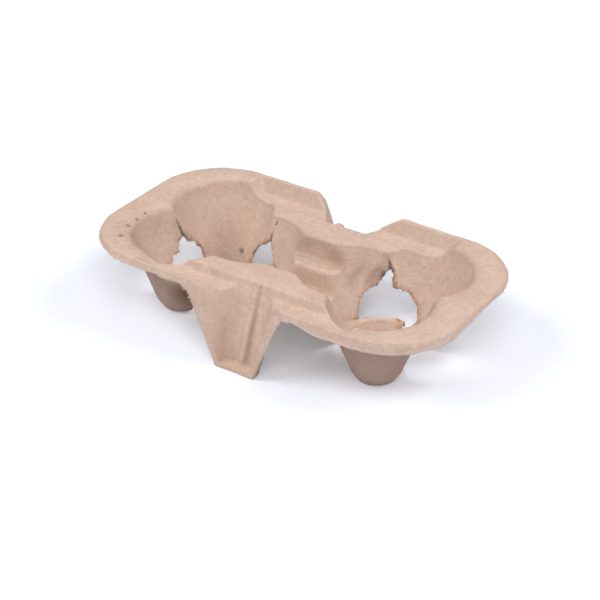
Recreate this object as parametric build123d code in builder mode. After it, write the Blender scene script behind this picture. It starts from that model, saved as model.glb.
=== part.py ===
"""Two-cup carrier tray, formed in one piece from moulded paper pulp.

The tray is a thin shell of nearly even thickness. Each hollow is made twice, once at its inner size and
once grown by the wall. The grown forms are joined to the rim, and the inner forms are then cut away.

Frame: X along the tray, Y across it, Z up, with the floor at Z = 0 and the origin midway between the cells.
"""
import os
from math import cos, hypot, radians, sin

from build123d import *

# Rim and overall size, in millimetres
tray_length = 196.8
tray_width = 110.0
rim_height = 42.0
corner_radius = 36.6
wall = 2.0
lip_drop = 3.7
lip_round = 2.6

# Cup cells: three overlapping lobes about each cell centre, which lean and taper down into the feet
cell_spacing = 94.4
lobe_turn = 60.0
right_front_turn = 64.0
mouth_radius = 25.7
mouth_offset = 19.8
foot_radius = 8.8
hidden_foot_radius = 7.2
foot_offset = 22.4
foot_bevel = 3.6
lean_reach = 1.2

# Round space for the cup itself, which fills a cell between its lobes down to the seat
seat_height = 20.7
cup_radius = 24.5
cup_mouth_radius = 28.9

# Torn-out cell bottoms: a round hole, and a pointed tear up each ridge between two lobes
hole_radius = 22.5
hole_rise = 3.0
right_tear_top = 32.0
left_tear_top = 25.8
tear_half_width = 2.8
tear_shoulder = 9.5
left_tear_shoulder = 7.4
left_tear_shift = 0.5
tear_foot_half_width = 13.8
tear_foot_height = 12.0
tear_low = 4.5
tear_start = 12.0
tear_reach = 34.0
tear_shift = 2.0
web_inset = 1.8
web_width = 30.0
web_shift = 4.0

# Raised middle between the cells, with a trough along each long side
plateau_drop = 3.0
plateau_half_width = 34.0
trough_depth = 3.4
trough_near = 37.4
trough_far = 45.0
crest_line = 52.0
trough_half_length = 54.0

# Stepped channel that joins the two cells through the plateau
shelf_height = 26.4
shelf_half_width = 16.7
channel_height = 15.0
channel_half_width = 8.7
channel_half_length = 15.0

# Valley and leg at the middle of each long side
notch_half_width = 29.0
shoulder_half_width = 33.5
shoulder_drop = 4.8
leg_half_width = 11.0
leg_pad_depth = 7.0
valley_bevel = 3.0
rib_width = 3.6
rib_rise = 1.2

# Values worked out from the sizes above
half_width = tray_width / 2
plateau_height = rim_height - plateau_drop
trough_floor = plateau_height - trough_depth
cell_centre = cell_spacing / 2
lip_inset = lip_round * (1 - cos(radians(45)))
overshoot = 4.0
lobes = [
    (cell_centre, 180.0, hidden_foot_radius),
    (cell_centre, lobe_turn, hidden_foot_radius),
    (cell_centre, -right_front_turn, foot_radius),
    (-cell_centre, 0.0, foot_radius),
    (-cell_centre, 180.0 - lobe_turn, foot_radius),
    (-cell_centre, lobe_turn - 180.0, foot_radius),
]
torn_ridges = [
    (cell_centre, 0.0, right_tear_top, tear_shoulder, tear_shift),
    (cell_centre, 2 * lobe_turn, right_tear_top, tear_shoulder, tear_shift),
    (-cell_centre, lobe_turn, left_tear_top, left_tear_shoulder, left_tear_shift),
    (-cell_centre, 180.0, left_tear_top, left_tear_shoulder, left_tear_shift),
]


def lobe_form(cell_x, turn, low_radius, grow):
    """Return one lobe, a bevelled cone on a leaning axis, from its foot to above the rim."""
    outward = Vector(cos(radians(turn)), sin(radians(turn)), 0)
    foot_centre = Vector(cell_x, 0, wall) + outward * foot_offset
    mouth_centre = Vector(cell_x, 0, rim_height) + outward * mouth_offset
    lean = (mouth_centre - foot_centre).normalized()
    length = (mouth_centre - foot_centre).length
    slope = (mouth_radius - low_radius) / length
    low = -grow - lean_reach
    high = length + 2 * overshoot
    wall_radius = low_radius + grow * hypot(1, slope)
    corner = wall_radius + slope * low
    bevel = foot_bevel + lean_reach + grow / 2
    leaning_plane = Plane(
        origin=foot_centre,
        x_dir=outward * lean.Z - Vector(0, 0, outward.dot(lean)),
        z_dir=outward.cross(Vector(0, 0, 1)),
    )
    with BuildPart() as form:
        with BuildSketch(leaning_plane):
            with BuildLine():
                Polyline(
                    (0, low),
                    (corner - bevel, low),
                    (corner - bevel / 6, low + bevel / 4),
                    (corner + slope * bevel, low + bevel),
                    (wall_radius + slope * high, high),
                    (0, high),
                    close=True,
                )
            make_face()
        revolve(axis=Axis(foot_centre, lean))
        split(bisect_by=Plane.XY.offset(wall - grow), keep=Keep.TOP)
        if grow:
            split(bisect_by=Plane.XY.offset(rim_height - wall / 2), keep=Keep.BOTTOM)
    return form.part


def cup_form(cell_x, grow):
    """Return the round space for the cup, from the seat to above the rim, grown by a wall."""
    slope = (cup_mouth_radius - cup_radius) / (rim_height - seat_height)
    side_grow = grow * hypot(1, slope)
    rise = rim_height - seat_height + (-wall / 2 if grow else overshoot)
    with BuildPart() as form:
        with Locations((cell_x, 0, seat_height - grow)):
            Cone(cup_radius - slope * grow + side_grow, cup_radius + slope * rise + side_grow,
                 rise + grow, align=(Align.CENTER, Align.CENTER, Align.MIN))
    return form.part


def trough_form(drop, reach):
    """Return the space above the plateau and its two troughs, lowered by drop and longer by reach."""
    with BuildPart() as form:
        with BuildSketch(Plane.YZ):
            with BuildLine():
                Polyline(
                    (0, rim_height + overshoot),
                    (0, plateau_height - drop),
                    (plateau_half_width - drop / 2, plateau_height - drop),
                    (trough_near - drop / 2, trough_floor - drop),
                    (trough_far + drop / 2, trough_floor - drop),
                    (crest_line + drop / 2, rim_height - drop),
                    (crest_line + drop / 2, rim_height + overshoot),
                    close=True,
                )
            make_face()
            mirror(about=Plane.YZ)
        extrude(amount=tray_length / 2, both=True)
        with BuildSketch(Plane.XZ):
            with BuildLine():
                end_low = trough_half_length + reach
                end_high = end_low + rim_height - trough_floor + overshoot
                Polyline(
                    (-end_low, trough_floor - drop),
                    (end_low, trough_floor - drop),
                    (end_high, rim_height + overshoot - drop),
                    (-end_high, rim_height + overshoot - drop),
                    close=True,
                )
            make_face()
        extrude(amount=tray_width, both=True, mode=Mode.INTERSECT)
        if drop:
            with BuildSketch():
                RectangleRounded(tray_length, tray_width, corner_radius)
            extrude(amount=rim_height, mode=Mode.INTERSECT)
    return form.part


def channel_form(grow, top):
    """Return the stepped channel between the cells, grown sideways and downwards."""
    half_length = channel_half_length - grow
    with BuildPart() as form:
        for half, floor in ((shelf_half_width, shelf_height), (channel_half_width, channel_height)):
            with BuildSketch(Plane.XY.offset(floor - grow)):
                Rectangle(2 * half_length, 2 * (half + grow))
            extrude(amount=top - floor + grow)
    return form.part


def valley_form(side, grow, top):
    """Return the valley over one leg, from its pad up to the notch in the rim."""
    back_slope = (half_width - leg_pad_depth - plateau_half_width) / plateau_height
    side_slope = (notch_half_width - leg_half_width) / rim_height
    shoulder_slope = (shoulder_half_width - notch_half_width) / shoulder_drop
    side_grow = grow * hypot(1, side_slope)
    back_grow = grow * hypot(1, back_slope)
    outer_line = half_width + (overshoot if grow == 0 else 0)
    shoulder = rim_height - shoulder_drop - grow
    with BuildPart() as form:
        for height in (wall - grow, shoulder, top):
            lift = height - wall + grow
            back = half_width - leg_pad_depth - lift * back_slope - back_grow
            near_half = leg_half_width - wall + side_grow
            far_half = near_half + lift * side_slope + max(0, height - shoulder) * shoulder_slope
            with BuildSketch(Plane.XY.offset(height)) as outline:
                with BuildLine():
                    Polyline(
                        (-near_half, side * back),
                        (near_half, side * back),
                        (far_half, side * outer_line),
                        (-far_half, side * outer_line),
                        close=True,
                    )
                make_face()
                back_corners = outline.vertices().sort_by(Axis.Y, reverse=side < 0)[:2]
                chamfer(back_corners, valley_bevel + grow / 2)
        loft(ruled=True)
    return form.part


def rib_form(side):
    """Return the low rib that runs down the middle of one leg."""
    top_y = plateau_half_width
    foot_y = half_width - leg_pad_depth
    with BuildPart() as form:
        with BuildSketch(Plane.YZ):
            with BuildLine():
                Polyline(
                    (side * (top_y - wall), plateau_height - wall),
                    (side * top_y, plateau_height),
                    (side * (top_y + rib_rise), plateau_height),
                    (side * (foot_y + rib_rise), wall),
                    (side * foot_y, wall),
                    (side * (foot_y - wall), wall),
                    close=True,
                )
            make_face()
        extrude(amount=rib_width / 2, both=True)
    return form.part


def tear_form(cell_x, turn, tear_top, shoulder, shift):
    """Return the space torn out of one ridge: wide between the feet, pointed at its top."""
    direction = Vector(cos(radians(turn)), sin(radians(turn)), 0)
    sideways = direction.rotate(Axis.Z, -90)
    start = Vector(cell_x, 0, 0) + direction * tear_start + sideways * shift
    with BuildPart() as form:
        with BuildSketch(Plane(origin=start, x_dir=-sideways, z_dir=direction)):
            with BuildLine():
                right_side = Polyline(
                    (0, tear_low),
                    (tear_foot_half_width, tear_low),
                    (tear_foot_half_width, tear_foot_height),
                    (shoulder, seat_height - wall),
                    (tear_half_width, seat_height + wall / 2),
                    (0, tear_top),
                )
                mirror(right_side, about=Plane.YZ)
            make_face()
        extrude(amount=tear_reach - tear_start)
    return form.part


with BuildPart() as carrier_tray:
    # Flat rim with its edge turned down
    with BuildSketch(Plane.XY.offset(rim_height - lip_drop)):
        RectangleRounded(tray_length, tray_width, corner_radius)
    extrude(amount=lip_drop - lip_round)
    with BuildSketch(Plane.XY.offset(rim_height - lip_round)):
        RectangleRounded(tray_length, tray_width, corner_radius)
    extrude(amount=lip_round - lip_inset, taper=22.5)
    with BuildSketch(Plane.XY.offset(rim_height - lip_inset)):
        RectangleRounded(tray_length - 2 * lip_inset, tray_width - 2 * lip_inset, corner_radius - lip_inset)
    extrude(amount=lip_inset, taper=67.5)
    with BuildSketch(Plane.XY.offset(rim_height - lip_drop)):
        RectangleRounded(tray_length - 2 * wall, tray_width - 2 * wall, corner_radius - wall)
    extrude(amount=lip_drop - wall, mode=Mode.SUBTRACT)

    # Grown forms, joined to the rim
    add([lobe_form(*lobe, wall) for lobe in lobes])
    add([cup_form(cell_x, wall) for cell_x in (cell_centre, -cell_centre)])
    add(trough_form(wall, wall))
    add(channel_form(wall, plateau_height))
    add([valley_form(side, wall, rim_height - wall / 2) for side in (1, -1)])

    # Inner forms, cut away
    add([lobe_form(*lobe, 0) for lobe in lobes], mode=Mode.SUBTRACT)
    add([cup_form(cell_x, 0) for cell_x in (cell_centre, -cell_centre)], mode=Mode.SUBTRACT)
    add(trough_form(0, 0), mode=Mode.SUBTRACT)
    add(channel_form(0, rim_height), mode=Mode.SUBTRACT)
    add([valley_form(side, 0, rim_height + overshoot) for side in (1, -1)], mode=Mode.SUBTRACT)
    add([rib_form(side) for side in (1, -1)])

    # Torn-out cell bottoms, with one web kept in the right cell, and the tears above them
    with BuildSketch():
        with Locations((-cell_centre, 0)):
            Circle(hole_radius - wall / 2)
    extrude(amount=seat_height + hole_rise, mode=Mode.SUBTRACT)
    with BuildSketch():
        with Locations((cell_centre, 0)):
            Circle(hole_radius)
        kept_plane = Plane(origin=(cell_centre, 0, 0)).rotated((0, 0, -right_front_turn))
        with Locations(kept_plane.from_local_coords((web_inset + hole_radius / 2, -web_shift))):
            Rectangle(hole_radius, web_width, rotation=-right_front_turn, mode=Mode.SUBTRACT)
    extrude(amount=seat_height + hole_rise, mode=Mode.SUBTRACT)
    add([tear_form(*ridge) for ridge in torn_ridges], mode=Mode.SUBTRACT)

carrier_tray.part.label = "carrier_tray"
os.makedirs("parts", exist_ok=True)
export_step(carrier_tray.part, "parts/carrier_tray.step")
print("volume", round(carrier_tray.part.volume), "solids", len(carrier_tray.part.solids()))
print("box", carrier_tray.part.bounding_box())
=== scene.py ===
"""Look of a moulded-pulp cup carrier: felted shell, torn edges, loose fibres, pale studio."""
import math

import bmesh
import bpy
import numpy as np
from mathutils import Matrix, Vector


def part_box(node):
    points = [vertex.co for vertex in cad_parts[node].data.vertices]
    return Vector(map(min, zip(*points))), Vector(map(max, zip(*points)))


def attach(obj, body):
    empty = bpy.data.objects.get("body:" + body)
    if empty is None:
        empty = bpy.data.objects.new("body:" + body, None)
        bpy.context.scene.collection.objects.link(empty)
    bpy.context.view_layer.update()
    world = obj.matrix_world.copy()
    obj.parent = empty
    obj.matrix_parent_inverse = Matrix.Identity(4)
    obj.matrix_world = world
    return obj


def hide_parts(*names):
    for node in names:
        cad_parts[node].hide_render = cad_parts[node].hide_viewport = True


bl_info = {
    "name": "Moulded Pulp Cup Carrier",
    "version": (1, 0, 0),
    "blender": (4, 5, 0),
    "location": "View3D > Sidebar > Pulp Tray",
    "description": "Builds the felted pulp shell of a cup carrier, its torn fibres and a pale studio",
    "category": "Object",
}

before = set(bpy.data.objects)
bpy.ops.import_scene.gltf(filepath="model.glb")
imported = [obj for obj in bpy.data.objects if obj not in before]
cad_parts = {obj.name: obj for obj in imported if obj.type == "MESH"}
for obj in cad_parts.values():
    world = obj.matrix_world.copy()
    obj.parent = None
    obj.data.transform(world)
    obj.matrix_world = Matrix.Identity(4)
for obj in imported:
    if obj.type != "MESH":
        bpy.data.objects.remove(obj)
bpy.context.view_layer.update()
low_corner, high_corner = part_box("carrier_tray")

# Metres in a millimetre. Every place and length from here to DARK_PATCHES is in millimetres.
MM = 0.001

# The outline's round corners, the cells' axes and where the cells begin, both from the middle, half
# of the channel's length and width, and the six round mouths, all seen from above.
CORNER_RADIUS = 36.6
CELL_AXIS = 47.2
CELL_START = (20.0, 25.0)
CHANNEL_HALF = (24.0, 20.0)
MOUTH_RADIUS = 25.7
MOUTHS = (
    (27.4, 0.0), (57.1, 17.1), (55.9, -17.8),
    (-27.4, 0.0), (-57.1, 17.1), (-57.1, -17.1),
)

# Depth of the rim's turned-down lip.
LIP_DEPTH = 5.0

# Balls that thicken the wall at the ends of the channel's shelves.
PLUG_RADIUS = 1.9
PLUGS = ((14.4, 18.7, 27.8), (14.4, -18.7, 27.8), (-14.4, 18.7, 27.8), (-14.4, -18.7, 27.8))

# Corners of loose triangles that are nearer than this are welded.
WELD_GAP = 0.001

# Thin spurs beside two tears, which are blended away.
SPURS = ((-68.8, -5.7, 19.5), (-30.2, 17.0, 20.3))

# Places where the wall is pulled along itself: the middle, the way and the reach of each.
PULLS = (
    ((-71.0, 3.0, 12.0), (0.4, 3.6, -1.8), 15.0),
    ((29.5, 18.0, 21.0), (-3.9, 0.7, -2.0), 13.5),
)

# Cracks that run on above the tears, from start to end.
CRACK_WIDTH = 1.3
CRACKS = (
    ((-75.0, 0.2, 33.4), (-73.0, 1.9, 24.4)),
    ((-30.0, 23.8, 35.8), (-31.9, 20.9, 25.2)),
    ((33.8, 25.3, 35.6), (36.2, 25.0, 29.6)),
)

# Painted shade in the creases beside the ribs of the two legs, from start to end.
SHADED_CREASE_WIDTH = 2.0
SHADED_CREASES = (
    ((2.3, -34.6, 38.4), (2.3, -48.6, 2.4)),
    ((-2.3, 34.6, 38.4), (-2.3, 48.6, 2.4)),
)

# Dark spots: the middle and the radius of each. The four on the rim's left end are specks, and the
# one low in the left cell's back pocket and the one at the top of the right cell's tear are painted
# shade.
SPECKS_AND_SHADE = (
    ((-57.1, 30.2, 7.8), 2.4),
    ((-83.7, -13.5, 40.9), 1.3),
    ((-83.4, -20.4, 40.6), 1.6),
    ((-82.1, -28.6, 41.2), 1.5),
    ((-78.0, -39.3, 41.8), 2.0),
    ((33.6, 22.4, 27.4), 2.9),
)

# The free edge of the web that is left in the right cell.
WEB_EDGE = ((34.7, -16.5, 20.7), (49.8, -1.8, 20.7))

# Parts of the lip's lower edge where fibres hang loose.
FUZZY_LIP = (
    ((-41.0, -54.1, 38.6), (-29.8, -54.3, 38.4)),
    ((-29.8, -54.3, 38.4), (-26.1, -54.6, 36.8)),
    ((-26.1, -54.6, 36.8), (-22.7, -54.7, 31.5)),
    ((26.5, -54.0, 35.5), (30.0, -54.0, 37.5)),
)

# Darker brown patches on the left front foot's outer side: the middle and the radius of each.
DARK_PATCHES = (((-45.2, -28.8, 16.0), 12.0),)

# Free edges: the blends that carry a normal a few millimetres, its blended length at an edge and on
# a face, and the least length that it is divided by.
EDGE_PASSES = 24
EDGE_LENGTHS = (0.6, 0.84)
SHORTEST_ARROW = 0.05

# Folds: how strongly and at most how much a free edge is held while they are rounded, the least
# share of rounding near the floor and the middle, and how many passes the spurs get for each one.
EDGE_HOLD = 1.5
MOST_HELD = 0.9
LEAST_ROUNDING = 0.3
SPUR_PASSES = 6

# Noise: a shift that keeps the cells' numbers positive, and the factors that mix them.
NOISE_SHIFT = 1000.0
CELL_FACTORS = np.array([73856093, 19349663, 83492791], np.uint64)
SEED_FACTOR = 2654435761
MIX_FACTOR = np.uint64(1274126177)
LOW_32_BITS = np.uint64(0xFFFFFFFF)

# Lumps of the wall and fray of its edges: the layers and the seed of their noise, how far the lumps
# are lowered, and the fray's size in millimetres.
RELIEF_LAYERS = 4
RELIEF_SEED = 11
RELIEF_DROP = 0.8
FRAY_LAYERS = 3
FRAY_SEED = 47
FRAY_SIZE = 3.0

# Fibres: the seeds, the way in which those on the lip hang, how many rings and sides each has, how
# far it strays from its way, its root's depth in the wall in millimetres, the shares of the longest
# and the thickest that the shortest and the thinnest are, the power that makes short ones common,
# the curl as a share of the length, and the share of the radius that is lost towards the tip.
ROOT_SEED = 5
SLIVER_SEED = 9
HANGING_WAY = (-0.45, -0.3, -0.85)
SLIVER_RINGS = 5
SLIVER_SIDES = 3
STRAY = 0.55
ROOT_DEPTH = 0.4
SHORTEST = 0.25
THINNEST = 0.45
SHORTNESS = 1.6
CURL = 0.5
TAPER = 0.9

# Floor, in metres: half its side, and the distances between which its glow rises from the least to 1.
FLOOR_HALF = 4.0
GLOW_SPAN = (0.2, 1.3)
LEAST_GLOW = 0.22

# Lamps, in metres and watts: the size of all, and the name, place and power of each.
LAMP_SIZE = 0.8
LAMPS = (
    ("front_lamp", (0.62, -0.85, 1.15), 11.3),
    ("left_lamp", (-0.75, -0.75, 1.1), 12.6),
    ("right_back_lamp", (0.9, 0.55, 1.1), 11.2),
    ("top_lamp", (0.0, 0.0, 1.5), 2.2),
)
LAMP_TARGET = Vector((0.0, 0.0, 0.0))

# Camera: the point it looks at and its nearest distance in metres, its sensor in millimetres.
CAMERA_TARGET = Vector((0.0, 0.0, 25.0 * MM))
NEAR_CLIP = 0.01
SENSOR_WIDTH = 36.0


def smooth_step(values, low, high):
    """Rise from 0 at low to 1 at high along 3t squared minus 2t cubed."""
    share = np.clip((values - low) / (high - low), 0.0, 1.0)
    return share * share * (3.0 - 2.0 * share)


def ramp(lengths, span, least=0.0):
    """Rise smoothly from the least value to 1 over a span given in millimetres."""
    low, high = np.array(span) * MM
    return least + (1.0 - least) * smooth_step(lengths, low, high)


def top_ramp(places, depths):
    """Rise smoothly from 0 to 1 between two depths below the rim's top, given in millimetres."""
    low, high = high_corner.z - np.array(depths) * MM
    return smooth_step(places[:, 2], low, high)


def lattice_noise(points, size, seed):
    """Smooth random values from -1 to 1, one for each point.

    Every corner of a cubic lattice of the given size holds a random value, made by mixing its three
    whole-number coordinates and the seed into 32 bits and keeping the upper 24. A point's value is
    the blend of the eight corners round it, weighted along each axis by 3t squared minus 2t cubed,
    where t is its share of the way across.
    """
    scaled = points / size + NOISE_SHIFT
    cell = np.floor(scaled).astype(np.int64)
    weight = smooth_step(scaled - cell, 0.0, 1.0)
    total = np.zeros(len(points))
    for corner in range(8):
        step = np.array([corner & 1, corner >> 1 & 1, corner >> 2 & 1])
        place = (cell + step).astype(np.uint64) * CELL_FACTORS
        mixed = place[:, 0] ^ place[:, 1] ^ place[:, 2] ^ np.uint64(seed * SEED_FACTOR % 2 ** 32)
        mixed = (mixed ^ mixed >> np.uint64(13)) * MIX_FACTOR & LOW_32_BITS
        value = (mixed >> np.uint64(8)).astype(float) / 2.0 ** 23 - 1.0
        part = np.where(step > 0, weight, 1.0 - weight).prod(axis=1)
        total += part * value
    return total


def layered_noise(points, size, layers, seed):
    """Sum of lattice noises, each half the size and half the height of the one before."""
    total = np.zeros(len(points))
    for layer in range(layers):
        total += lattice_noise(points, size / 2 ** layer, seed + layer) / 2 ** layer
    return total


def read_vectors(items, label):
    """One vector of each item of a mesh, as an array with one row for each."""
    flat = np.empty(len(items) * 3, np.float32)
    items.foreach_get(label, flat)
    return flat.reshape(-1, 3).astype(float)


def vertex_places(mesh):
    """The mesh's vertices, one row for each."""
    return read_vectors(mesh.vertices, "co")


def vertex_normals(mesh):
    """The mesh's vertex normals, one row for each."""
    return read_vectors(mesh.vertex_normals, "vector")


def vertex_pairs(mesh):
    """Both ends of each edge, as an array with one row for each."""
    flat = np.empty(len(mesh.edges) * 2, np.int32)
    mesh.edges.foreach_get("vertices", flat)
    return flat.reshape(-1, 2)


def move_vertices(mesh, places):
    """Put the vertices at the given places."""
    mesh.vertices.foreach_set("co", places.astype(np.float32).ravel())
    mesh.update()


def set_attribute(mesh, name, values):
    """Store one number for each vertex under a name that a material can read."""
    attribute = mesh.attributes.new(name, "FLOAT", "POINT")
    attribute.data.foreach_set("value", values.astype(np.float32))


def clipped(places):
    """The places kept inside the tray's box in the CAD."""
    return np.clip(places, np.array(low_corner), np.array(high_corner))


def neighbour_mean(values, pairs):
    """For each vertex, the mean of the values at the far ends of its edges."""
    count = len(values)
    degree = np.bincount(pairs.ravel(), minlength=count)
    total = np.empty_like(values)
    for axis in range(values.shape[1]):
        total[:, axis] = np.bincount(pairs[:, 0], values[pairs[:, 1], axis], count)
        total[:, axis] += np.bincount(pairs[:, 1], values[pairs[:, 0], axis], count)
    return total / np.maximum(degree, 1)[:, None]


def spread(values, pairs, passes):
    """Blend each value half-way towards its neighbours' mean, as many times as asked."""
    for _ in range(passes):
        values = 0.5 * values + 0.5 * neighbour_mean(values, pairs)
    return values


def settle(places, pairs, share, passes):
    """Move each place by half its share towards its neighbours' mean, as many times as asked."""
    for _ in range(passes):
        places = places + share * 0.5 * (neighbour_mean(places, pairs) - places)
    return places


def point_distance(places, points):
    """Distance from each place to the nearest of some points given in millimetres."""
    nearest = np.full(len(places), np.inf)
    for point in points:
        nearest = np.minimum(nearest, np.linalg.norm(places - np.array(point) * MM, axis=1))
    return nearest


def line_distance(places, line):
    """Distance from each place to the straight line between two points given in millimetres."""
    start, end = np.array(line) * MM
    along = end - start
    share = np.clip((places - start) @ along / (along @ along), 0.0, 1.0)
    return np.linalg.norm(places - start - share[:, None] * along, axis=1)


def outline_depth(places):
    """How far inside the rim's outline each place lies, seen from above.

    The outline is a rectangle with round corners: the depth is the corner's radius less the distance
    from the smaller rectangle that the corners' centres make.
    """
    reach = np.abs(places[:, :2]) - (np.array(high_corner)[:2] - CORNER_RADIUS * MM)
    beyond = np.linalg.norm(np.maximum(reach, 0.0), axis=1)
    return CORNER_RADIUS * MM - beyond - np.minimum(reach.max(axis=1), 0.0)


def mouth_distance(places):
    """How far outside the nearest of the six round mouths each place lies, seen from above."""
    centres = np.array(MOUTHS) * MM
    away = np.linalg.norm(places[:, None, :2] - centres[None, :, :], axis=2)
    return away.min(axis=1) - MOUTH_RADIUS * MM


def lip_fuzz(places, width):
    """Share of fuzz: full on the fuzzy parts of the lip, gone a width away."""
    away = [line_distance(places, line) for line in FUZZY_LIP]
    return 1.0 - smooth_step(np.min(away, axis=0), 0.3 * width, width)


def free_edges(normals, pairs):
    """How near each vertex is to a free edge of the wall, and the way that points past the edge.

    Blending the normals over a few millimetres leaves a long arrow on a face and a fairly long one
    on a fold. At a free edge the wall's two faces cancel out, and the short arrow left points past
    the edge.
    """
    arrows = spread(normals, pairs, EDGE_PASSES)
    lengths = np.linalg.norm(arrows, axis=1)
    past_edge = arrows / np.maximum(lengths, SHORTEST_ARROW)[:, None]
    return 1.0 - smooth_step(lengths, *EDGE_LENGTHS), past_edge


def round_folds(places, normals, pairs, passes):
    """Round the folds by blending the places, and blend the spurs away with six times the passes.

    The blend is weaker near the floor and near the middle, and it is held back by up to nine tenths
    at the free edges outside the channel.
    """
    edge, _ = free_edges(normals, pairs)
    near_edge = spread(edge[:, None], pairs, 3)
    in_channel = np.all(np.abs(places[:, :2]) < np.array(CHANNEL_HALF) * MM, axis=1)
    held = np.clip(near_edge * EDGE_HOLD, 0.0, MOST_HELD) * ~in_channel[:, None]
    off_floor = ramp(places[:, 2:], (6.0, 22.0), LEAST_ROUNDING)
    off_middle = ramp(np.abs(places[:, :1]), (40.0, 62.0), LEAST_ROUNDING)
    places = settle(places, pairs, (1.0 - held) * (off_floor * off_middle), passes)
    off_spur = ramp(point_distance(places, SPURS), (2.0, 5.0))
    return settle(places, pairs, 1.0 - off_spur[:, None], SPUR_PASSES * passes)


class PulpShellSettings(bpy.types.PropertyGroup):
    """Sizes of the felted shell's mesh, bends and relief."""

    voxel: bpy.props.FloatProperty(
        name="Mesh Pitch", description="Size of the felted shell's mesh",
        default=0.96 * MM, min=0.5 * MM, max=3.0 * MM, unit="LENGTH", precision=5)
    softening: bpy.props.IntProperty(
        name="Softening", description="Passes that round the moulded folds",
        default=6, min=0, max=60)
    relief: bpy.props.FloatProperty(
        name="Relief", description="Height of the lumps that the drying mesh leaves in the wall",
        default=0.22 * MM, min=0.0, max=1.0 * MM, unit="LENGTH", precision=5)
    relief_size: bpy.props.FloatProperty(
        name="Relief Size", description="Width of the largest lumps",
        default=9.0 * MM, min=1.0 * MM, max=40.0 * MM, unit="LENGTH", precision=5)
    ragged: bpy.props.FloatProperty(
        name="Ragged Tears", description="How far the torn edges in the cells wander",
        default=0.9 * MM, min=0.0, max=3.0 * MM, unit="LENGTH", precision=5)
    ragged_lip: bpy.props.FloatProperty(
        name="Ragged Lip", description="How far the rim's trimmed lip wanders",
        default=0.12 * MM, min=0.0, max=3.0 * MM, unit="LENGTH", precision=5)
    roll: bpy.props.FloatProperty(
        name="Mouth Roll", description="How far the flange bends down into the mouths",
        default=1.5 * MM, min=0.0, max=4.0 * MM, unit="LENGTH", precision=5)
    roll_width: bpy.props.FloatProperty(
        name="Roll Width", description="Width of flange that bends down",
        default=5.0 * MM, min=0.5 * MM, max=12.0 * MM, unit="LENGTH", precision=5)
    hang: bpy.props.FloatProperty(
        name="Hanging Lip", description="How much lower the lip hangs round the right front corner",
        default=2.3 * MM, min=0.0, max=5.0 * MM, unit="LENGTH", precision=5)
    rib: bpy.props.FloatProperty(
        name="Leg Rib", description="Rise of the rib down the middle of each leg",
        default=0.9 * MM, min=0.0, max=2.0 * MM, unit="LENGTH", precision=5)
    crack_depth: bpy.props.FloatProperty(
        name="Crack Depth", description="Depth of the cracks that run on above the tears",
        default=1.0 * MM, min=0.0, max=2.0 * MM, unit="LENGTH", precision=5)


class FibreSettings(bpy.types.PropertyGroup):
    """Number and sizes of the loose fibres on the torn edges and the lip."""

    count: bpy.props.IntProperty(
        name="Fibres", description="Number of loose fibres", default=1500, min=0, max=5000)
    length: bpy.props.FloatProperty(
        name="Length", description="Length of the longest fibres",
        default=3.0 * MM, min=0.1 * MM, max=6.0 * MM, unit="LENGTH", precision=5)
    thickness: bpy.props.FloatProperty(
        name="Thickness", description="Radius of the thickest fibre at its root",
        default=0.2 * MM, min=0.01 * MM, max=1.0 * MM, unit="LENGTH", precision=5)


class PulpFinishSettings(bpy.types.PropertyGroup):
    """Colours of the pulp."""

    pale: bpy.props.FloatVectorProperty(
        name="Pale Pulp", description="Colour of dry felted pulp", subtype="COLOR", size=3,
        default=(0.72, 0.535, 0.447), min=0.0, max=1.0)
    deep: bpy.props.FloatVectorProperty(
        name="Deep Pulp", description="Colour of denser pulp", subtype="COLOR", size=3,
        default=(0.50, 0.34, 0.25), min=0.0, max=1.0)
    torn: bpy.props.FloatVectorProperty(
        name="Torn Pulp", description="Colour of the torn edges", subtype="COLOR", size=3,
        default=(0.40, 0.23, 0.135), min=0.0, max=1.0)
    # Colour of the painted shade on the feet's outer walls below the rim and on whatever faces down.
    painted_underside_shade: bpy.props.FloatVectorProperty(
        name="Underside Shade", description="Colour of the sheet's rougher underside",
        subtype="COLOR", size=3, default=(0.40, 0.265, 0.195), min=0.0, max=1.0)
    # Colour of the darker brown patch on the left front foot.
    patch_brown: bpy.props.FloatVectorProperty(
        name="Dark Patch", description="Colour of the damp brown part of the underside",
        subtype="COLOR", size=3, default=(0.27, 0.155, 0.085), min=0.0, max=1.0)
    loose: bpy.props.FloatVectorProperty(
        name="Loose Fibres", description="Colour of the loose fibres and the lip's fringe",
        subtype="COLOR", size=3, default=(0.82, 0.62, 0.50), min=0.0, max=1.0)
    # Colour of the specks and cracks, and of the painted shade in the creases, on the sloping faces
    # beside the flange and in two spots.
    speck_and_shade: bpy.props.FloatVectorProperty(
        name="Speck And Shade", description="Colour of the dark specks, cracks and creases",
        subtype="COLOR", size=3, default=(0.13, 0.10, 0.085), min=0.0, max=1.0)


class StudioSettings(bpy.types.PropertyGroup):
    """Floor, room light and camera."""

    floor: bpy.props.FloatVectorProperty(
        name="Floor", description="Colour of the pale floor", subtype="COLOR", size=3,
        default=(0.80, 0.835, 0.93), min=0.0, max=1.0)
    ambient: bpy.props.FloatProperty(
        name="Ambient", description="Strength of the room's light", default=0.02, min=0.0, max=3.0)
    azimuth: bpy.props.FloatProperty(
        name="Camera Azimuth", description="Turn of the camera from straight in front, towards +X",
        default=math.radians(34.594), unit="ROTATION")
    elevation: bpy.props.FloatProperty(
        name="Camera Elevation", description="Height of the camera above the horizon",
        default=math.radians(30.342), unit="ROTATION")
    distance: bpy.props.FloatProperty(
        name="Camera Distance", description="From the camera to the point it looks at",
        default=0.8971, unit="LENGTH")
    focal_length: bpy.props.FloatProperty(
        name="Focal Length", description="Lens, in millimetres on a 36 mm sensor", default=111.66)
    shift_down: bpy.props.FloatProperty(
        name="Frame Shift",
        description="How far the frame sits below the lens axis, as a share of its width",
        default=0.0364)


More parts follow.
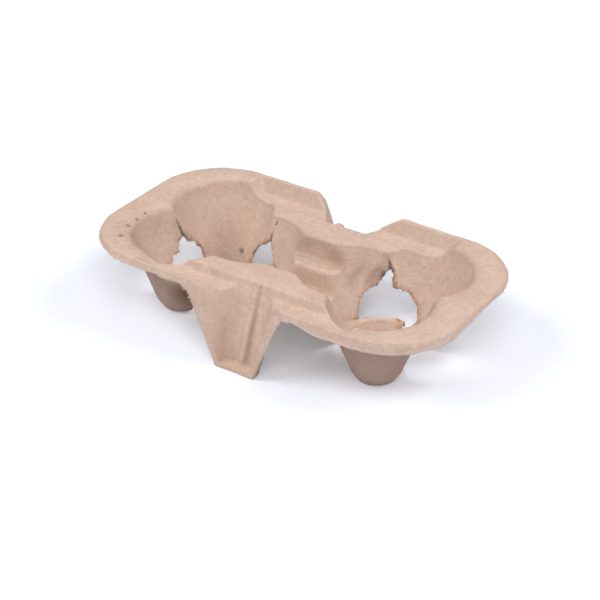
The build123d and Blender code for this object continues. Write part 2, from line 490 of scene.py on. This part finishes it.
def set_inputs(node, values):
    """Give a node's inputs the values listed under their labels."""
    for label, value in values.items():
        node.inputs[label].default_value = value


def join(tree, value, socket):
    """Link an output to an input, or set the input to a number, a vector or a colour."""
    if isinstance(value, bpy.types.NodeSocket):
        tree.links.new(value, socket)
    else:
        socket.default_value = value


def noise_node(tree, places, scale, detail, distortion=0.0, output="Fac"):
    """Add a noise texture that reads the given places, and return one of its outputs."""
    node = tree.nodes.new("ShaderNodeTexNoise")
    set_inputs(node, {"Scale": scale, "Detail": detail, "Distortion": distortion})
    tree.links.new(places, node.inputs["Vector"])
    return node.outputs[output]


def math_node(tree, operation, first, second, clamp=False):
    """Add a math node and return its output. Each input is a socket or a number."""
    node = tree.nodes.new("ShaderNodeMath")
    node.operation = operation
    node.use_clamp = clamp
    join(tree, first, node.inputs[0])
    join(tree, second, node.inputs[1])
    return node.outputs[0]


def vector_node(tree, operation, first, second):
    """Add a vector math node and return its output, a number for a dot product or a distance.

    Each input is a socket or a vector, and to scale a vector the second is a number.
    """
    node = tree.nodes.new("ShaderNodeVectorMath")
    node.operation = operation
    join(tree, first, node.inputs[0])
    join(tree, second, node.inputs["Scale" if operation == "SCALE" else 1])
    return node.outputs["Value" if operation in ("DOT_PRODUCT", "DISTANCE") else "Vector"]


def range_node(tree, value, low, high, to_low=0.0, to_high=1.0):
    """Add a node that spreads values from one range over another, clamped."""
    node = tree.nodes.new("ShaderNodeMapRange")
    tree.links.new(value, node.inputs["Value"])
    set_inputs(node, {"From Min": low, "From Max": high, "To Min": to_low, "To Max": to_high})
    return node.outputs["Result"]


def mix_colour(tree, share, first, second):
    """Blend two colours by a mask and return the output. A colour is a socket or three numbers."""
    node = tree.nodes.new("ShaderNodeMix")
    node.data_type = "RGBA"
    tree.links.new(share, node.inputs["Factor"])
    for value, socket in ((first, node.inputs[6]), (second, node.inputs[7])):
        join(tree, value if isinstance(value, bpy.types.NodeSocket) else (*value, 1.0), socket)
    return node.outputs[2]


def attribute_mask(tree, name):
    """Add a node that reads a mesh attribute, and return its number."""
    node = tree.nodes.new("ShaderNodeAttribute")
    node.attribute_name = name
    return node.outputs["Fac"]


def seen_rays(tree):
    """One for the rays that show a background, straight or in gloss or glass, and 0 for the rest."""
    path = tree.nodes.new("ShaderNodeLightPath")
    seen = math_node(tree, "ADD", path.outputs["Is Camera Ray"], path.outputs["Is Glossy Ray"])
    return math_node(tree, "ADD", seen, path.outputs["Is Transmission Ray"], clamp=True)


def new_group(name, inputs, outputs):
    """Make a shader node group that reads places, and return it with its inner inputs and outputs.

    Each further input is a label, a kind and a starting value, or None for a vector. Each output is
    the label of a number.
    """
    group = bpy.data.node_groups.new(name, "ShaderNodeTree")
    for label, kind, value in (("Places", "NodeSocketVector", None), *inputs):
        socket = group.interface.new_socket(label, in_out="INPUT", socket_type=kind)
        if value is not None:
            socket.default_value = value
    for label in outputs:
        group.interface.new_socket(label, in_out="OUTPUT", socket_type="NodeSocketFloat")
    given = group.nodes.new("NodeGroupInput").outputs
    return group, given, group.nodes.new("NodeGroupOutput").inputs


def place_group(tree, name, build, places, values):
    """Place a node group, built at its first use, with values on its inputs. Return its outputs."""
    node = tree.nodes.new("ShaderNodeGroup")
    node.node_tree = bpy.data.node_groups.get(name) or build()
    tree.links.new(places, node.inputs["Places"])
    set_inputs(node, values)
    return node.outputs


def felt_group():
    """Felted fibres: broad clouds, lumps and fine hairs, as masks and a height."""
    group, given, results = new_group(
        "Felted Fibres", (("Fineness", "NodeSocketFloat", 1.0),), ("Clouds", "Grain", "Height"))
    places = vector_node(group, "SCALE", given["Places"], given["Fineness"])
    clouds = noise_node(group, places, scale=55.0, detail=3.0, distortion=0.4)
    lumps = noise_node(group, places, scale=420.0, detail=4.0, distortion=0.8)
    hairs = noise_node(group, places, scale=1400.0, detail=3.0, distortion=2.5)
    grain = math_node(group, "ADD", math_node(group, "MULTIPLY", lumps, 0.6),
                      math_node(group, "MULTIPLY", hairs, 0.4))
    group.links.new(range_node(group, clouds, 0.3, 0.7), results["Clouds"])
    group.links.new(range_node(group, grain, 0.35, 0.65), results["Grain"])
    group.links.new(grain, results["Height"])
    return group


def crack_and_crease_shade_group():
    """A dark hairline between two points, for the cracks and for the painted shade in the creases, as
    a mask that fades over its width.

    The width grows from 0.45 to 1.45 of the one given, from the start to the end.
    """
    group, given, results = new_group(
        "Hairline Crack And Crease Shade",
        (("Start", "NodeSocketVector", None), ("End", "NodeSocketVector", None),
         ("Width", "NodeSocketFloat", MM)),
        ("Mask",))
    along = vector_node(group, "SUBTRACT", given["End"], given["Start"])
    offset = vector_node(group, "SUBTRACT", given["Places"], given["Start"])
    reach = vector_node(group, "DOT_PRODUCT", offset, along)
    size = vector_node(group, "DOT_PRODUCT", along, along)
    share = math_node(group, "DIVIDE", reach, size, clamp=True)
    away = vector_node(group, "DISTANCE", offset, vector_node(group, "SCALE", along, share))
    width = math_node(group, "MULTIPLY", given["Width"], math_node(group, "ADD", 0.45, share))
    fade = math_node(group, "DIVIDE", away, width)
    mask = math_node(group, "SUBTRACT", 1.0, fade, clamp=True)
    group.links.new(math_node(group, "POWER", mask, 0.6), results["Mask"])
    return group


def speck_and_shade_group():
    """A round patch with a soft edge about one point, as a mask."""
    group, given, results = new_group(
        "Speck And Shade",
        (("Centre", "NodeSocketVector", None), ("Radius", "NodeSocketFloat", MM)),
        ("Mask",))
    away = vector_node(group, "DISTANCE", given["Places"], given["Centre"])
    fade = math_node(group, "DIVIDE", away, given["Radius"])
    group.links.new(math_node(group, "SUBTRACT", 1.0, fade, clamp=True), results["Mask"])
    return group


def line_mask(tree, places, lines, width):
    """Hairlines of one width in millimetres, joined into one mask."""
    total = 0.0
    for start, end in lines:
        line = place_group(tree, "Hairline Crack And Crease Shade", crack_and_crease_shade_group, places, {
            "Start": Vector(start) * MM, "End": Vector(end) * MM, "Width": width * MM})
        total = math_node(tree, "MAXIMUM", total, line["Mask"])
    return total


def speck_and_shade_mask(tree, places, specks, total=0.0):
    """Round patches joined into one mask, together with the mask given."""
    for centre, radius in specks:
        speck_and_shade = place_group(tree, "Speck And Shade", speck_and_shade_group, places, {
            "Centre": Vector(centre) * MM, "Radius": radius * MM})
        total = math_node(tree, "MAXIMUM", total, speck_and_shade["Mask"])
    return total


def wobbled_places(tree, places):
    """The places pushed about by noise, 0.8 mm at most, so that lines drawn on them wander."""
    noise = noise_node(tree, places, scale=500.0, detail=3.0, output="Color")
    centred = vector_node(tree, "SUBTRACT", noise, (0.5, 0.5, 0.5))
    small = vector_node(tree, "MULTIPLY", centred, (1.6 * MM, 1.6 * MM, 1.6 * MM))
    return vector_node(tree, "ADD", places, small)


def new_material(name, values):
    """Make a material, set its shader's inputs and return it with its tree and its shader."""
    material = bpy.data.materials.new(name)
    material.use_nodes = True
    shader = material.node_tree.nodes["Principled BSDF"]
    set_inputs(shader, values)
    return material, material.node_tree, shader


def pulp_material(finish):
    """Dry moulded pulp: clouded beige with a fine grain, and seven layers over it.

    From the lowest up, they are painted shade on the feet's outer walls and on whatever faces down,
    painted shade on the sloping faces beside the flange, a darker brown patch on the left front foot,
    the lip's pale fringe, the browner torn edges, painted shade in the creases beside the ribs, and
    the cracks, the specks and two spots of painted shade. Each is a mask, its strength and its
    colour.
    """
    material, tree, shader = new_material(
        "felted_pulp", {"Roughness": 0.92, "Specular IOR Level": 0.25})
    places = tree.nodes.new("ShaderNodeTexCoord").outputs["Object"]
    wandering = wobbled_places(tree, places)
    felt = place_group(tree, "Felted Fibres", felt_group, places, {})
    clouds = math_node(tree, "MULTIPLY", felt["Clouds"], 0.30)
    grain = math_node(tree, "MULTIPLY", felt["Grain"], 0.55)
    density = math_node(tree, "ADD", clouds, grain, clamp=True)
    colour = mix_colour(tree, density, finish.pale, finish.deep)
    # Painted shade on the feet's outer walls below the rim and on whatever faces down.
    painted_underside_shade = attribute_mask(tree, "painted_underside_shade")
    # A darker brown patch on the left front foot.
    dark_patch = math_node(tree, "MULTIPLY", speck_and_shade_mask(tree, places, DARK_PATCHES), painted_underside_shade)
    patches = range_node(tree, felt["Grain"], 0.1, 0.8)
    cracks = line_mask(tree, wandering, CRACKS, CRACK_WIDTH)
    for mask, strength, paint in (
        (painted_underside_shade, 0.6, finish.painted_underside_shade),
        # Painted shade on the sloping faces beside the flange that lean to the front or the back.
        (attribute_mask(tree, "painted_shoulder_shade"), 0.16, finish.speck_and_shade),
        (dark_patch, 1.2, finish.patch_brown),
        (attribute_mask(tree, "fringe"), 0.8, finish.loose),
        (attribute_mask(tree, "torn"), patches, finish.torn),
        # Painted shade in the creases beside the legs' ribs.
        (line_mask(tree, wandering, SHADED_CREASES, SHADED_CREASE_WIDTH), 0.25, finish.speck_and_shade),
        # Cracks and specks, with two spots of painted shade: low in the left cell's back pocket and
        # at the top of the right cell's tear.
        (speck_and_shade_mask(tree, wandering, SPECKS_AND_SHADE, cracks), 0.9, finish.speck_and_shade),
    ):
        share = math_node(tree, "MULTIPLY", mask, strength, clamp=True)
        colour = mix_colour(tree, share, colour, paint)
    tree.links.new(colour, shader.inputs["Base Color"])
    bump = tree.nodes.new("ShaderNodeBump")
    set_inputs(bump, {"Strength": 0.9, "Distance": 0.5 * MM})
    tree.links.new(felt["Height"], bump.inputs["Height"])
    tree.links.new(bump.outputs["Normal"], shader.inputs["Normal"])
    return material


def fibre_material(finish):
    """Loose fibres, paler than the wall that they stand off."""
    material, _, _ = new_material("loose_fibres", {
        "Base Color": (*finish.loose, 1.0), "Roughness": 0.9, "Specular IOR Level": 0.2})
    return material


def new_object(name, data):
    """Put a mesh, a lamp or a camera into the scene."""
    thing = bpy.data.objects.new(name, data)
    bpy.context.scene.collection.objects.link(thing)
    return thing


def add_plugs(mesh):
    """Add a small ball inside the wall at each place where the wall is thin."""
    shape = bmesh.new()
    shape.from_mesh(mesh)
    for centre in PLUGS:
        bmesh.ops.create_icosphere(
            shape, subdivisions=2, radius=PLUG_RADIUS * MM,
            matrix=Matrix.Translation(Vector(centre) * MM))
    shape.to_mesh(mesh)
    shape.free()


def apply_modifiers(piece):
    """Turn the piece's modifiers into its mesh."""
    graph = bpy.context.evaluated_depsgraph_get()
    mesh = bpy.data.meshes.new_from_object(piece.evaluated_get(graph))
    piece.modifiers.clear()
    old = piece.data
    piece.data = mesh
    bpy.data.meshes.remove(old)


class PULP_OT_shell(bpy.types.Operator):
    """Felt the tray's shell: round its corners, roughen its walls and fray its torn edges"""

    bl_idname = "pulp.shell"
    bl_label = "Felted Shell"

    def execute(self, context):
        shell = context.scene.pulp_shell
        tray = self.remeshed(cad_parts["carrier_tray"], shell)
        mesh = tray.data
        pairs = vertex_pairs(mesh)
        places = self.bend(self.pull(vertex_places(mesh)), shell)
        places = round_folds(places, vertex_normals(mesh), pairs, shell.softening)
        move_vertices(mesh, places)
        normals = vertex_normals(mesh)
        edge, past_edge = free_edges(normals, pairs)
        lip = edge * top_ramp(places, (1.6 * LIP_DEPTH, LIP_DEPTH))
        in_cell = ramp(np.abs(places[:, 0]), CELL_START)
        torn = (edge - lip) * in_cell * ramp(outline_depth(places), (2.0, 5.0))
        places += normals * self.ribs(places, normals, shell)[:, None]
        places += normals * self.lumps(places, shell)[:, None]
        places += past_edge * self.fray(places, torn, lip, shell)[:, None]
        places -= normals * self.cracks(places, shell)[:, None]
        move_vertices(mesh, clipped(places))
        # Painted shade on the feet's outer walls and on whatever faces down.
        set_attribute(mesh, "painted_underside_shade", self.underside(places, normals))
        set_attribute(mesh, "torn", self.browned(places, torn, lip, pairs))
        # Painted shade on the sloping faces beside the flange.
        set_attribute(mesh, "painted_shoulder_shade", self.shoulder_shade_share(spread(normals, pairs, 5)))
        set_attribute(mesh, "fringe", lip * smooth_step(-normals[:, 2], -0.25, 0.25))
        mesh.polygons.foreach_set("use_smooth", np.ones(len(mesh.polygons), bool))
        mesh.materials.append(pulp_material(context.scene.pulp_finish))
        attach(tray, "root")
        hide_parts("carrier_tray")
        return {"FINISHED"}

    def remeshed(self, node, shell):
        """Copy a CAD node's mesh, plug its thin places, weld its loose triangles and remesh it."""
        mesh = node.data.copy()
        mesh.name = "pulp_tray"
        add_plugs(mesh)
        mesh.materials.clear()
        tray = new_object("pulp_tray", mesh)
        tray.modifiers.new("weld", "WELD").merge_threshold = WELD_GAP * MM
        felted = tray.modifiers.new("felted", "REMESH")
        felted.mode = "VOXEL"
        felted.voxel_size = shell.voxel
        apply_modifiers(tray)
        return tray

    def pull(self, places):
        """Pull the wall along itself: fully within 3 mm of a pull's middle, none past its reach."""
        for centre, way, reach in PULLS:
            share = 1.0 - ramp(point_distance(places, (centre,)), (3.0, reach))
            places = places + share[:, None] * np.array(way) * MM
        return places

    def bend(self, places, shell):
        """Bend the flange down into the mouths, and let the lip hang lower round one corner.

        The bend is the roll times the square of what is left of the roll's width, and it fades out
        down the wall and towards the middle. The lip's drop is the hang times a share that rises
        from 1 to 3.7 mm below the rim's top, and it is full at the right front corner.
        """
        roll_left = 1.0 - np.clip(mouth_distance(places) / shell.roll_width, 0.0, 1.0)
        high = top_ramp(places, (16.0, 3.0)) * ramp(np.abs(places[:, 0]), (50.0, 66.0))
        on_lip = 1.0 - ramp(outline_depth(places), (2.4, 3.6))
        low_on_lip = ramp(high_corner.z - places[:, 2], (1.0, 3.7))
        at_corner = ramp(places[:, 0], (33.0, 46.0)) * (1.0 - ramp(places[:, 1], (-20.0, 12.0)))
        at_corner *= top_ramp(places, (9.0, 6.0))
        drop = shell.roll * roll_left ** 2 * high * (1.0 - on_lip)
        drop += shell.hang * on_lip * low_on_lip * at_corner
        return places - drop[:, None] * np.array([0.0, 0.0, 1.0])

    def ribs(self, places, normals, shell):
        """Rise of the ribs: full at the middle of a leg's outer face, gone 2.2 mm to each side."""
        faces_out = smooth_step(normals[:, 1] * np.sign(places[:, 1]), 0.2, 0.5)
        on_leg = ramp(np.abs(places[:, 1]), (33.5, 35.0))
        off_floor = ramp(places[:, 2], (1.5, 3.5))
        off_middle = ramp(np.abs(places[:, 0]), (1.2, 2.2))
        return shell.rib * (faces_out * on_leg * off_floor) * (1.0 - off_middle)

    def lumps(self, places, shell):
        """Rise of the wall: layered noise, lowered so that the tray stays inside its size."""
        noise = layered_noise(places, shell.relief_size, RELIEF_LAYERS, RELIEF_SEED)
        return shell.relief * (noise - RELIEF_DROP)

    def fray(self, places, torn, lip, shell):
        """Reach past a free edge: noise, strong at a tear and at the fuzzy parts of the lip.

        The tears fray fully from 16 mm up, and the web's edge in the right cell is almost smooth.
        """
        fuzz = lip_fuzz(places, 5.0 * MM)
        high = ramp(places[:, 2], (8.0, 16.0))
        off_web = ramp(line_distance(places, WEB_EDGE), (2.5, 6.0), least=0.2)
        at_tears = shell.ragged * torn * (high * off_web)
        at_lip = (shell.ragged_lip + shell.ragged * fuzz) * lip
        noise = layered_noise(places, FRAY_SIZE * MM, FRAY_LAYERS, FRAY_SEED)
        return (at_tears + at_lip) * noise

    def cracks(self, places, shell):
        """Depth of the grooves: greatest on each crack's line, gone 1.1 mm away."""
        depth = np.zeros(len(places))
        for line in CRACKS:
            depth = np.maximum(depth, 1.0 - ramp(line_distance(places, line), (0.2, 1.1)))
        return shell.crack_depth * depth

    def underside(self, places, normals):
        """Share of painted shade: the feet's outer walls and whatever faces down.

        A foot's outer wall faces away from its cell's axis, and its share fades out from 44 to 49 mm
        from that axis.
        """
        away = places[:, :2] - np.sign(places[:, :1]) * np.array([[CELL_AXIS * MM, 0.0]])
        distance = np.maximum(np.linalg.norm(away, axis=1), 1e-6)
        faces_out = smooth_step((normals[:, :2] * away).sum(axis=1) / distance, 0.0, 0.4)
        past_foot = ramp(distance, (44.0, 49.0))
        faces_up = smooth_step(normals[:, 2], 0.1, 0.5)
        faces_down = smooth_step(-normals[:, 2], 0.3, 0.7)
        return np.maximum(faces_out * (1.0 - past_foot) * (1.0 - faces_up), faces_down)

    def browned(self, places, torn, lip, pairs):
        """Share of the torn colour: the tears and a halo round them, and a tenth of the lip.

        The web's edge in the right cell has less of it.
        """
        halo = spread(torn[:, None], pairs, 4)[:, 0] * 1.3
        halo *= ramp(line_distance(places, WEB_EDGE), (3.0, 7.0), least=0.15)
        return np.clip(halo + 0.1 * lip, 0.0, 1.0)

    def shoulder_shade_share(self, normals):
        """Share of painted shade on the sloping faces beside the flange.

        Such a face leans about 37 to 53 degrees from level, towards the front or the back, and the
        share fades out at 16 and 68 degrees.
        """
        off_wall = smooth_step(normals[:, 2], 0.38, 0.6)
        level = smooth_step(normals[:, 2], 0.8, 0.96)
        return off_wall * (1.0 - level) * smooth_step(np.abs(normals[:, 1]), 0.3, 0.5)


class PULP_OT_fibres(bpy.types.Operator):
    """Grow loose fibres from the torn edges of the cells and the fuzzy parts of the lip"""

    bl_idname = "pulp.fibres"
    bl_label = "Torn Fibres"

    def execute(self, context):
        fibres = context.scene.pulp_fibres
        shell = bpy.data.objects.get("pulp_tray")
        if shell is None:
            raise RuntimeError("The felted shell has to be made first")
        mesh = bpy.data.meshes.new("torn_fibres")
        roots, ways = self.roots(shell.data, fibres.count)
        places, faces = self.slivers(roots, ways, fibres)
        mesh.from_pydata(places.tolist(), [], faces.tolist())
        mesh.materials.append(fibre_material(context.scene.pulp_finish))
        piece = new_object("torn_fibres", mesh)
        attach(piece, "root")
        return {"FINISHED"}

    def roots(self, mesh, count):
        """Pick places on the free edges, mostly at tears and fuzzy parts of the lip, with a way each.

        The way points past the edge, and down on the fuzzy parts, where the fibres hang. The chance
        is the edge's share squared, times 1.06 in the cells and 0.06 elsewhere, plus five times the
        fuzz.
        """
        places = vertex_places(mesh)
        edge, past_edge = free_edges(vertex_normals(mesh), vertex_pairs(mesh))
        in_cell = 1.0 - top_ramp(places, (10.0, 8.0))
        fuzz = lip_fuzz(places, 1.8 * MM)
        outer = ramp(np.abs(places[:, 1]), (44.0, 50.0))
        chance = edge ** 2 * (in_cell * (1.0 - outer) + 0.06) + 5.0 * fuzz
        random = np.random.default_rng(ROOT_SEED)
        picked = random.choice(len(places), count, p=chance / chance.sum())
        hanging = fuzz[picked][:, None]
        ways = past_edge[picked] * (1.0 - hanging) + hanging * np.array(HANGING_WAY)
        return places[picked], ways

    def slivers(self, roots, ways, fibres):
        """Curved three-sided slivers that taper from the root to the tip.

        A sliver's centre line is start plus reach times t plus bend times t squared, for t from 0 to
        1. It starts inside the wall, and bends across its way by its curl. The cross-section is a
        triangle about that line, with radius falling by the taper.
        """
        random = np.random.default_rng(SLIVER_SEED)
        count = len(roots)
        way = ways + random.normal(0.0, STRAY, (count, 3))
        way /= np.linalg.norm(way, axis=1)[:, None]
        first = np.cross(way, random.normal(0.0, 1.0, (count, 3)))
        first /= np.linalg.norm(first, axis=1)[:, None]
        second = np.cross(way, first)
        length = fibres.length * random.uniform(SHORTEST, 1.0, count) ** SHORTNESS
        radius = fibres.thickness * random.uniform(THINNEST, 1.0, count)
        share = np.linspace(0.0, 1.0, SLIVER_RINGS)[None, :, None, None]
        angle = np.linspace(0.0, 2.0 * np.pi, SLIVER_SIDES, endpoint=False)[None, None, :, None]
        start, reach, bend, first, second = (vectors[:, None, None, :] for vectors in (
            roots - ROOT_DEPTH * MM * way, way * length[:, None], first * (CURL * length)[:, None],
            first, second))
        spine = start + share * reach + share ** 2 * bend
        ring = np.cos(angle) * first + np.sin(angle) * second
        places = spine + ring * (radius[:, None, None, None] * (1.0 - TAPER * share))
        return clipped(places).reshape(-1, 3), self.sliver_faces(count)

    def sliver_faces(self, count):
        """Four-sided faces between each ring of a sliver and the next."""
        side = np.arange(SLIVER_SIDES)
        sliver = np.arange(count)[:, None, None] * SLIVER_RINGS * SLIVER_SIDES
        ring = sliver + np.arange(SLIVER_RINGS - 1)[None, :, None] * SLIVER_SIDES
        near, far = ring + side, ring + (side + 1) % SLIVER_SIDES
        faces = np.stack([near, far, far + SLIVER_SIDES, near + SLIVER_SIDES], axis=-1)
        return faces.reshape(-1, 4)


class PULP_OT_studio(bpy.types.Operator):
    """Set up the pale floor, the soft light and the camera"""

    bl_idname = "pulp.studio"
    bl_label = "Pale Studio"

    def execute(self, context):
        studio = context.scene.pulp_studio
        self.floor(studio)
        self.room(context, studio)
        self.lamps()
        self.camera(context, studio)
        context.scene.view_settings.view_transform = "Standard"
        return {"FINISHED"}

    def floor(self, studio):
        """Pale floor that takes the tray's shadow, and looks whiter to the camera further out."""
        corners = np.array([[-1, -1, 0], [1, -1, 0], [1, 1, 0], [-1, 1, 0]]) * FLOOR_HALF
        mesh = bpy.data.meshes.new("studio_floor")
        mesh.from_pydata(corners.tolist(), [], [(0, 1, 2, 3)])
        floor = new_object("studio_floor", mesh)
        material, tree, shader = new_material("pale_floor", {
            "Base Color": (*studio.floor, 1.0), "Roughness": 0.9, "Specular IOR Level": 0.0,
            "Emission Color": (1.0, 1.0, 1.0, 1.0)})
        places = tree.nodes.new("ShaderNodeTexCoord").outputs["Object"]
        away = vector_node(tree, "DISTANCE", places, (0.0, 0.0, 0.0))
        rise = range_node(tree, away, *GLOW_SPAN, LEAST_GLOW, 1.0)
        glow = math_node(tree, "MULTIPLY", seen_rays(tree), rise)
        tree.links.new(glow, shader.inputs["Emission Strength"])
        mesh.materials.append(material)

    def room(self, context, studio):
        """White room that the camera sees in full, and that lights the tray only dimly."""
        world = bpy.data.worlds.new("studio_room")
        world.use_nodes = True
        context.scene.world = world
        tree = world.node_tree
        backdrop = tree.nodes["Background"]
        backdrop.inputs["Color"].default_value = (1.0, 1.0, 1.0, 1.0)
        strength = math_node(tree, "MAXIMUM", seen_rays(tree), studio.ambient)
        tree.links.new(strength, backdrop.inputs["Strength"])

    def lamps(self):
        """Four broad lamps: high in front, at the left, at the right behind, and above."""
        for name, place, power in LAMPS:
            light = bpy.data.lights.new(name, "AREA")
            light.size = LAMP_SIZE
            light.energy = power
            lamp = new_object(name, light)
            lamp.location = place
            lamp.rotation_euler = (LAMP_TARGET - Vector(place)).to_track_quat("-Z", "Y").to_euler()

    def camera(self, context, studio):
        """Place the camera on a ball about a point just above the floor."""
        level = math.cos(studio.elevation)
        direction = Vector((
            math.sin(studio.azimuth) * level, -math.cos(studio.azimuth) * level,
            math.sin(studio.elevation)))
        lens = bpy.data.cameras.new("photo_camera")
        lens.sensor_width = SENSOR_WIDTH
        lens.lens = studio.focal_length
        lens.shift_y = -studio.shift_down
        lens.clip_start = NEAR_CLIP
        camera = new_object("photo_camera", lens)
        camera.location = CAMERA_TARGET + direction * studio.distance
        camera.rotation_euler = (-direction).to_track_quat("-Z", "Y").to_euler()
        context.scene.camera = camera


class PULP_PT_panel(bpy.types.Panel):
    """Lists the tray's settings and operators"""

    bl_idname = "PULP_PT_panel"
    bl_label = "Pulp Tray"
    bl_space_type = "VIEW_3D"
    bl_region_type = "UI"
    bl_category = "Pulp Tray"

    def draw(self, context):
        for title, settings in (
            ("Shell", context.scene.pulp_shell),
            ("Fibres", context.scene.pulp_fibres),
            ("Finish", context.scene.pulp_finish),
            ("Studio", context.scene.pulp_studio),
        ):
            self.layout.label(text=title)
            for label in settings.__annotations__:
                self.layout.prop(settings, label)
        for operator in OPERATORS:
            self.layout.operator(operator.bl_idname)


SETTINGS = (
    ("pulp_shell", PulpShellSettings),
    ("pulp_fibres", FibreSettings),
    ("pulp_finish", PulpFinishSettings),
    ("pulp_studio", StudioSettings),
)
OPERATORS = (PULP_OT_shell, PULP_OT_fibres, PULP_OT_studio)
CLASSES = tuple(group for _, group in SETTINGS) + OPERATORS + (PULP_PT_panel,)


def register():
    """Register the classes and put the settings on the scene."""
    for item in CLASSES:
        bpy.utils.register_class(item)
    for name, group in SETTINGS:
        setattr(bpy.types.Scene, name, bpy.props.PointerProperty(type=group))


def unregister():
    """Take the settings off the scene and unregister the classes."""
    for name, _ in SETTINGS:
        delattr(bpy.types.Scene, name)
    for item in reversed(CLASSES):
        bpy.utils.unregister_class(item)


def main():
    """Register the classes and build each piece."""
    register()
    bpy.ops.pulp.shell()
    bpy.ops.pulp.fibres()
    bpy.ops.pulp.studio()


if __name__ == "__main__":
    main()
